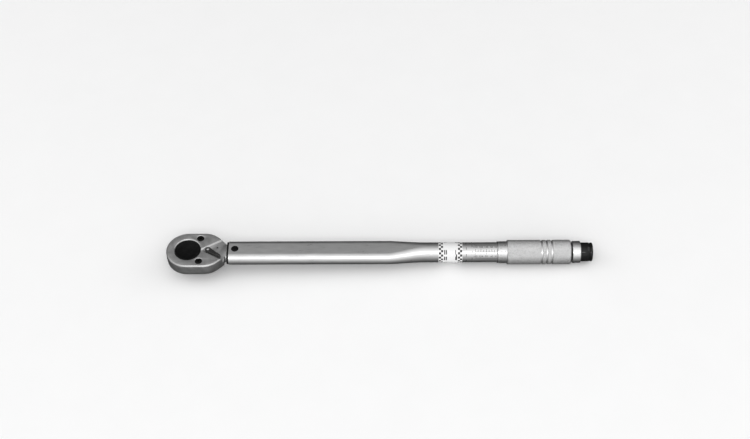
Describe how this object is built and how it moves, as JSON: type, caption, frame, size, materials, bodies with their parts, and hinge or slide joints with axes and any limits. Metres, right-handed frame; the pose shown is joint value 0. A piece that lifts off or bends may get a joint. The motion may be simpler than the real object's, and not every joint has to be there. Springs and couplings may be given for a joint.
{
  "type": "torque wrench",
  "caption": "Click-type torque wrench with a reversible ratchet head, square drive, pivoting head in a part-flattened tube, twist-to-set knurled handle and end lock knob.",
  "frame": {"origin": "centre of the drive square's end face", "axes": "+X along the tube from the head to the handle, +Z from the square to the selector lever"},
  "size_m": [0.4698, 0.0476, 0.0385],
  "materials": {
    "forged_steel": "satin-plated forging, tumbled grain, worn bright at the edges",
    "black_steel": "black oxide, semi-gloss, rubbed at the edges",
    "bright_steel": "ground and turned, lightly oiled",
    "spring_steel": "dark drawn spring wire",
    "satin_chrome": "satin chrome, fine grain along the tube",
    "knurled_chrome": "matt chrome over fine knurling",
    "polished_chrome": "polished chrome",
    "nut_brass": "turned brass",
    "seal_rubber": "matt black rubber",
    "black_plastic": "glossy black moulded plastic with fine ribs",
    "nylon": "natural nylon",
    "printed_label": "white vinyl label, black print"
  },
  "bodies": {
    "tube": {"tube": "satin_chrome", "neck_seal": "seal_rubber", "pivot_pin": "black_steel", "plunger": "bright_steel", "main_spring": "spring_steel", "tube_nut": "nut_brass", "nut_pin": "bright_steel"},
    "head": {"ratchet_head": "forged_steel", "cover_plate": "forged_steel", "cover_screw_1": "black_steel", "cover_screw_2": "black_steel"},
    "click_block": {"click_block": "bright_steel"},
    "drive": {"drive_gear": "black_steel", "detent_spring": "spring_steel"},
    "detent_ball": {"detent_ball": "bright_steel"},
    "selector": {"selector_lever": "black_steel", "selector_cam": "bright_steel", "pawl_spring": "spring_steel"},
    "pawl_ball": {"pawl_ball": "bright_steel"},
    "pawl": {"pawl": "bright_steel"},
    "adjuster": {"spring_seat": "bright_steel", "thrust_ball": "bright_steel"},
    "handle": {"handle": "knurled_chrome", "adjusting_screw": "bright_steel", "handle_washer": "bright_steel", "handle_nut": "bright_steel", "end_collar": "polished_chrome"},
    "lock_plug": {"lock_plug": "nylon"},
    "lock_knob": {"lock_knob": "black_plastic", "lock_rod": "bright_steel"}
  },
  "joints": [
    {"name": "head_pivot", "type": "hinge", "parent": "tube", "child": "head", "pos_m": [0.052, 0, 0.025], "axis": [0, 0, 1], "range_deg": [-1, 1], "stiffness_Nm_per_rad": 50},
    {"name": "block_tilt", "type": "hinge", "parent": "tube", "child": "click_block", "pos_m": [0.2608, 0, 0.025], "axis": [0, 0, 1], "range_deg": [-24, 24]},
    {"name": "drive_spin", "type": "hinge", "parent": "head", "child": "drive", "pos_m": [0, 0, 0.025], "axis": [0, 0, 1], "continuous": true},
    {"name": "detent_press", "type": "slide", "parent": "drive", "child": "detent_ball", "axis": [0, 1, 0], "range_m": [0, 0.0008], "stiffness_N_per_m": 500, "deforming": ["detent_spring"]},
    {"name": "selector_turn", "type": "hinge", "parent": "head", "child": "selector", "pos_m": [0.0225, 0, 0.025], "axis": [0, 0, 1], "range_deg": [0, 70]},
    {"name": "pawl_ball_press", "type": "slide", "parent": "selector", "child": "pawl_ball", "axis": [0.8192, -0.5736, 0], "range_m": [0, 0.0009], "stiffness_N_per_m": 300, "deforming": ["pawl_spring"]},
    {"name": "pawl_rock", "type": "hinge", "parent": "head", "child": "pawl", "pos_m": [0.017, 0, 0.025], "axis": [0, 0, 1], "range_deg": [-11, 0]},
    {"name": "adjust_slide", "type": "slide", "parent": "tube", "child": "adjuster", "axis": [-1, 0, 0], "range_m": [0, 0.024], "deforming": ["main_spring"]},
    {"name": "handle_turn", "type": "hinge", "parent": "adjuster", "child": "handle", "pos_m": [0.38, 0, 0.025], "axis": [-1, 0, 0], "range_deg": [0, 4320]},
    {"name": "lock_slide", "type": "slide", "parent": "handle", "child": "lock_plug", "axis": [1, 0, 0], "range_m": [0, 0.00187]},
    {"name": "lock_turn", "type": "hinge", "parent": "lock_plug", "child": "lock_knob", "pos_m": [0.44, 0, 0.025], "axis": [1, 0, 0], "range_deg": [0, 540]}
  ],
  "couplings": [
    {"joint": "block_tilt", "follows": "head_pivot", "ratio": -23.529},
    {"joint": "pawl_rock", "follows": "selector_turn", "ratio": -0.15714},
    {"joint": "handle_turn", "follows": "adjust_slide", "rad_per_m": 3141.6},
    {"joint": "lock_turn", "follows": "lock_slide", "rad_per_m": 5026.5}
  ]
}
